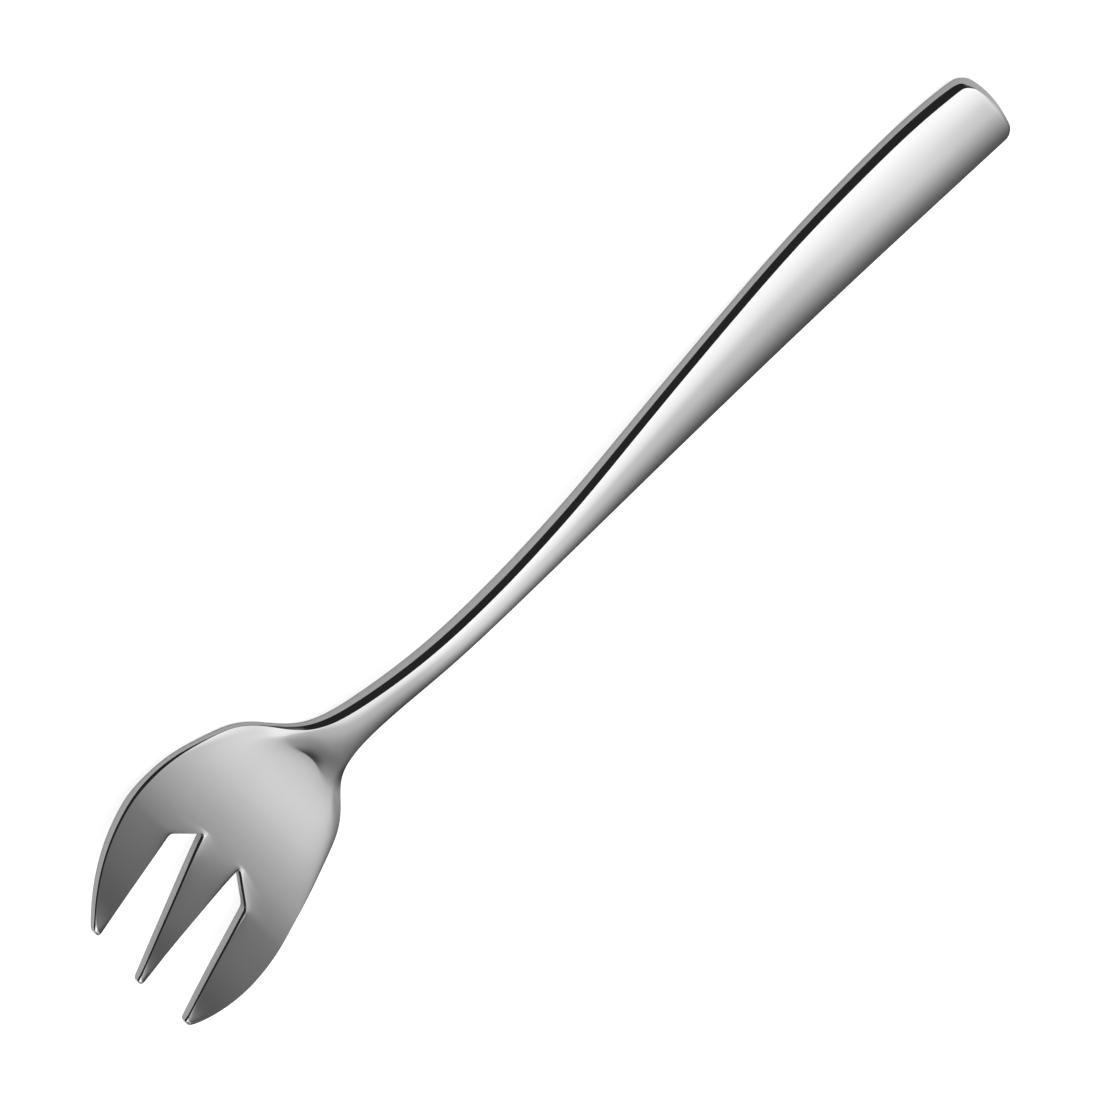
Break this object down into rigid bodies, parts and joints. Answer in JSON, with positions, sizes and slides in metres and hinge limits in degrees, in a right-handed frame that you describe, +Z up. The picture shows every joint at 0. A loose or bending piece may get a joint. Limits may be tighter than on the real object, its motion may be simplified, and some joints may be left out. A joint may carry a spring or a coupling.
{
  "type": "fish fork",
  "caption": "Polished steel fish fork with a domed paddle handle, a slim arched neck and a broad flat head that ends in short pointed tines.",
  "frame": {"origin": "on the table that the fork lies on, under the middle of its length and width", "axes": "+X along the fork from the handle's end towards the tips, +Y to the fork's left, +Z up, away from the table"},
  "size_m": [0.19, 0.0422, 0.0128],
  "materials": {
    "polished_steel": "mirror-polished stainless steel"
  },
  "bodies": {
    "root": {"handle": "polished_steel", "neck": "polished_steel", "bowl": "polished_steel", "left_tine": "polished_steel", "middle_tine": "polished_steel", "right_tine": "polished_steel"}
  },
  "joints": []
}
